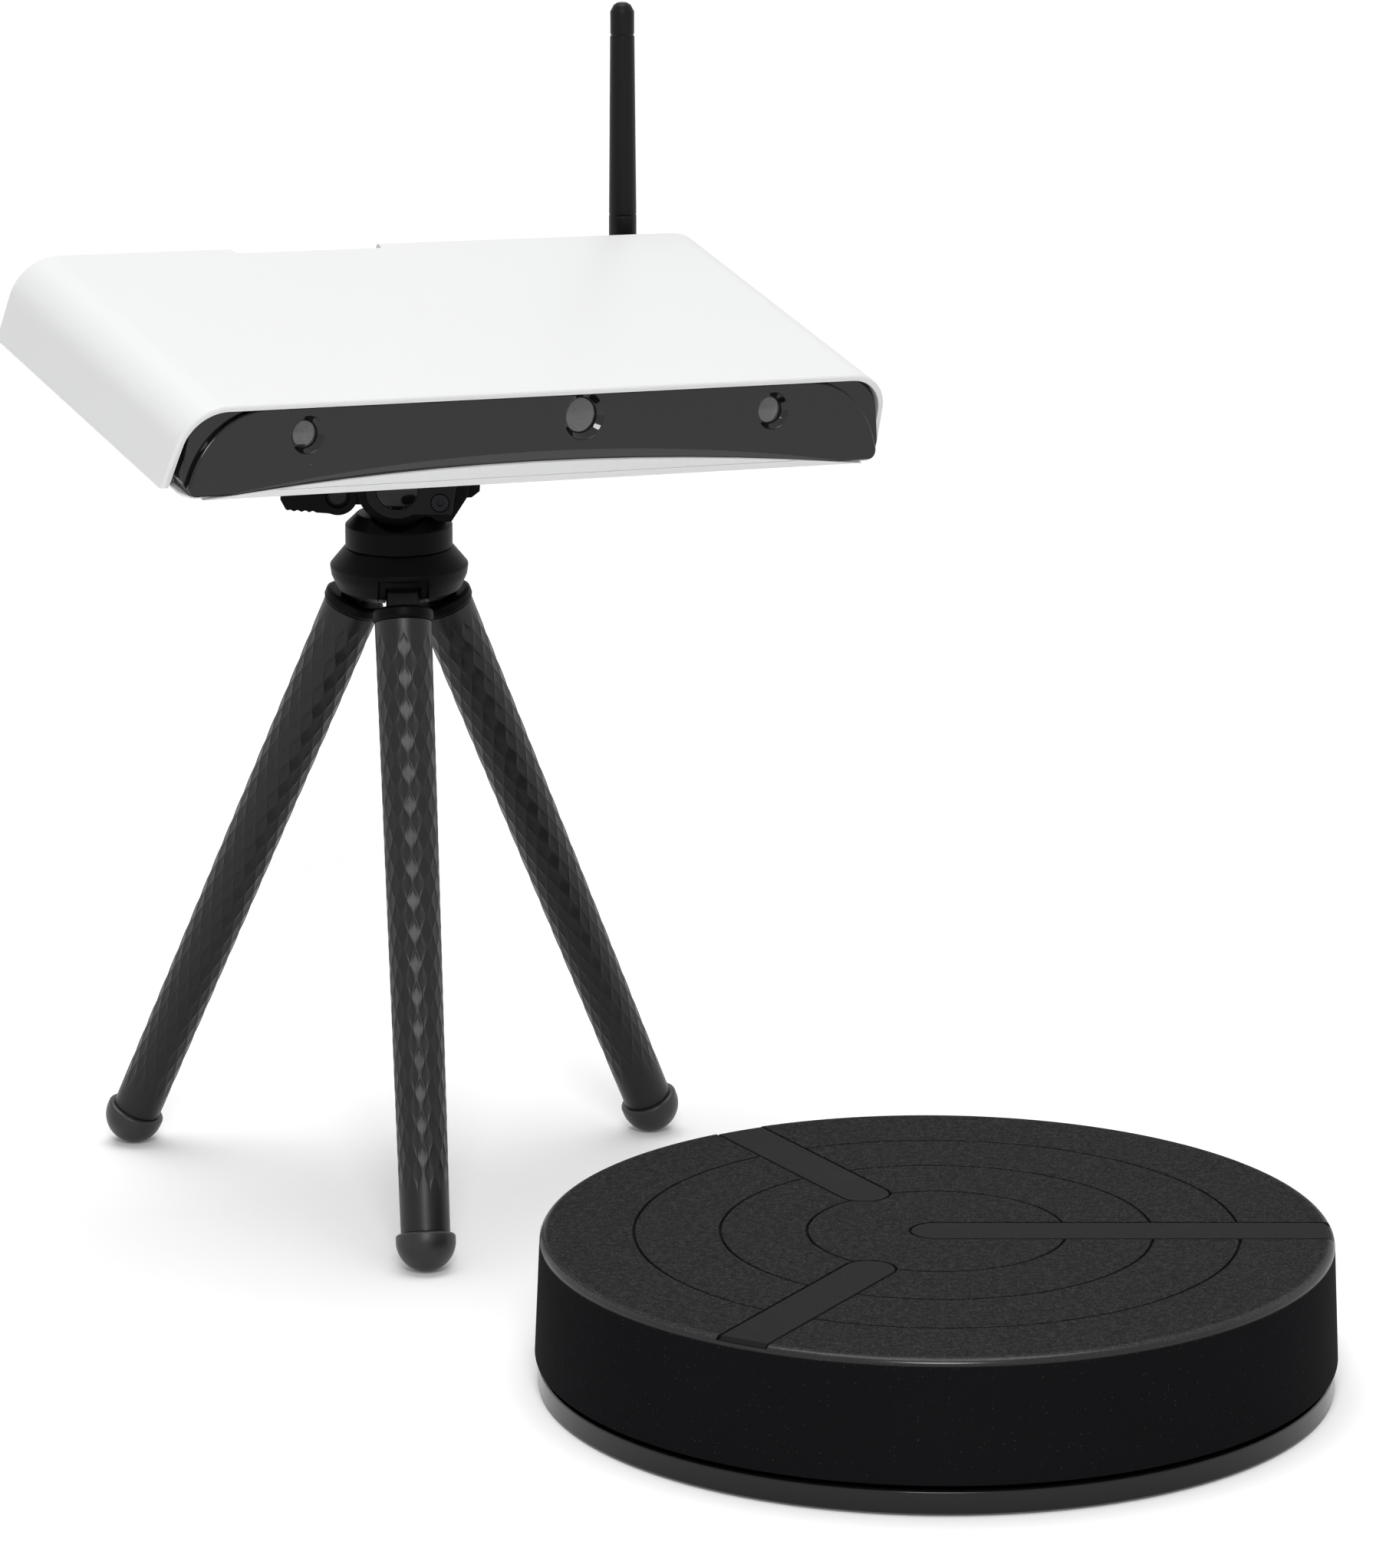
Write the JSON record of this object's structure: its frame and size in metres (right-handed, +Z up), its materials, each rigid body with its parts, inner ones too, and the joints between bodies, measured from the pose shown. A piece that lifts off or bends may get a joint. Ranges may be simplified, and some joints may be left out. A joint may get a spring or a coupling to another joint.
{
  "type": "desktop 3d scanner",
  "caption": "Desktop 3D scanner: a wide sensor head on a ball-jointed tripod with flexible legs, beside a motorised round turntable.",
  "frame": {"origin": "middle of the whole set's footprint, on the table the tripod and the turntable stand on", "axes": "+Z up; -Y towards the side the set is looked at from; +X to that viewer's right, where the turntable stands"},
  "size_m": [0.4443, 0.4701, 0.3983],
  "materials": {
    "black_texture": "fine grain, matte",
    "black_rubber": "matt",
    "black_plastic": "satin",
    "gloss_black": "polished",
    "white_plastic": "satin",
    "gear_plastic": "natural, moulded",
    "steel": "turned",
    "brass": "turned",
    "aluminium": "satin",
    "board": "solder mask",
    "glass": "coated",
    "socket_metal": "plated"
  },
  "bodies": {
    "turntable_base": {"base_shell": "gloss_black", "base_feet": "black_rubber", "bearing": "steel", "motor": "steel", "drive_board": "board", "drive_socket": "black_plastic"},
    "platter": {"platter": "black_texture", "platter_strips": "black_rubber", "platter_gear": "gear_plastic", "spindle": "steel"},
    "idler": {"idler_gear": "gear_plastic"},
    "pinion": {"motor_pinion": "steel"},
    "tripod": {"tripod_hub": "black_plastic", "leg_pins": "steel"},
    "leg_1": {"leg_1_collar": "black_plastic", "leg_1_core": "steel", "leg_1_sleeve": "black_rubber", "leg_1_foot": "black_rubber"},
    "leg_2": {"leg_2_collar": "black_plastic", "leg_2_core": "steel", "leg_2_sleeve": "black_rubber", "leg_2_foot": "black_rubber"},
    "leg_3": {"leg_3_collar": "black_plastic", "leg_3_core": "steel", "leg_3_sleeve": "black_rubber", "leg_3_foot": "black_rubber"},
    "pan_head": {"pan_collar": "black_plastic", "pan_bolt": "steel", "clamp_body": "black_plastic", "front_cheek": "black_plastic", "badge_cap": "gloss_black", "hinge_screw": "steel", "lever_pin": "steel"},
    "lever": {"lock_lever": "black_plastic"},
    "release": {"release_tab": "black_plastic"},
    "liner": {"ball_liner": "black_plastic"},
    "scanner": {"ball": "steel", "platform": "black_plastic", "platform_pad": "black_rubber", "platform_screw": "steel", "thread_bush": "brass", "bottom_tray": "white_plastic", "top_cover": "white_plastic", "front_panel": "gloss_black", "optical_bench": "aluminium", "camera_left": "black_plastic", "camera_right": "black_plastic", "camera_lenses": "glass", "projector": "black_plastic", "projector_lens": "glass", "main_board": "board", "heat_sink": "aluminium", "network_socket": "socket_metal", "usb_socket": "socket_metal", "power_socket": "black_plastic", "back_panel": "black_plastic", "aerial_stub": "brass"},
    "button": {"power_button": "black_plastic"},
    "aerial_base": {"aerial_knuckle": "black_plastic"},
    "aerial": {"aerial_rod": "black_plastic"}
  },
  "joints": [
    {"name": "platter_spin", "type": "hinge", "parent": "turntable_base", "child": "platter", "pos_m": [0.0922, -0.105, 0.03], "axis": [0, 0, 1], "continuous": true},
    {"name": "idler_spin", "type": "hinge", "parent": "turntable_base", "child": "idler", "pos_m": [0.02725, -0.0675, 0.045], "axis": [0, 0, 1], "continuous": true},
    {"name": "pinion_spin", "type": "hinge", "parent": "turntable_base", "child": "pinion", "pos_m": [0.00473, -0.0545, 0.045], "axis": [0, 0, 1], "continuous": true},
    {"name": "tripod_stand", "type": "slide", "parent": "turntable_base", "child": "tripod", "axis": [-0.6357, 0.772, 0], "range_m": [-0.03, 0.15]},
    {"name": "leg_fold_1", "type": "hinge", "parent": "tripod", "child": "leg_1", "pos_m": [-0.08644, 0.10047, 0.216], "axis": [0.9947, 0.1028, 0], "range_deg": [0, 22]},
    {"name": "leg_fold_2", "type": "hinge", "parent": "tripod", "child": "leg_2", "pos_m": [-0.07668, 0.12071, 0.216], "axis": [-0.5388, 0.8425, 0], "range_deg": [0, 22]},
    {"name": "leg_fold_3", "type": "hinge", "parent": "tripod", "child": "leg_3", "pos_m": [-0.09995, 0.11876, 0.216], "axis": [-0.3907, -0.9205, 0], "range_deg": [0, 22]},
    {"name": "pan_turn", "type": "hinge", "parent": "tripod", "child": "pan_head", "pos_m": [-0.0878, 0.1136, 0.2277], "axis": [0, 0, 1], "continuous": true},
    {"name": "lever_swing", "type": "hinge", "parent": "pan_head", "child": "lever", "pos_m": [-0.1084, 0.1136, 0.2469], "axis": [0, 1, 0], "range_deg": [0, 70]},
    {"name": "release_slide", "type": "slide", "parent": "pan_head", "child": "release", "axis": [-1, 0, 0], "range_m": [0, 0.0015], "stiffness_N_per_m": 400, "springref_m": -0.001},
    {"name": "ball_nod", "type": "hinge", "parent": "pan_head", "child": "liner", "pos_m": [-0.0878, 0.1136, 0.2505], "axis": [0.8405, 0.5374, -0.0686], "range_deg": [-15, 15]},
    {"name": "ball_tilt", "type": "hinge", "parent": "liner", "child": "scanner", "pos_m": [-0.0878, 0.1136, 0.2505], "axis": [-0.508, 0.8258, 0.245], "range_deg": [-15, 15]},
    {"name": "button_press", "type": "slide", "parent": "scanner", "child": "button", "axis": [0.508, -0.8258, -0.245], "range_m": [0, 0.0008], "stiffness_N_per_m": 600, "springref_m": -0.001},
    {"name": "aerial_swivel", "type": "hinge", "parent": "scanner", "child": "aerial_base", "pos_m": [-0.01153, 0.22726, 0.30434], "axis": [-0.508, 0.8258, 0.245], "range_deg": [-90, 90]},
    {"name": "aerial_fold", "type": "hinge", "parent": "aerial_base", "child": "aerial", "pos_m": [-0.01153, 0.22726, 0.30434], "axis": [0.8517, 0.524, 0], "range_deg": [-75.5, 14]}
  ],
  "couplings": [
    {"joint": "idler_spin", "follows": "platter_spin", "ratio": -2.75},
    {"joint": "pinion_spin", "follows": "platter_spin", "ratio": 9.1667}
  ]
}
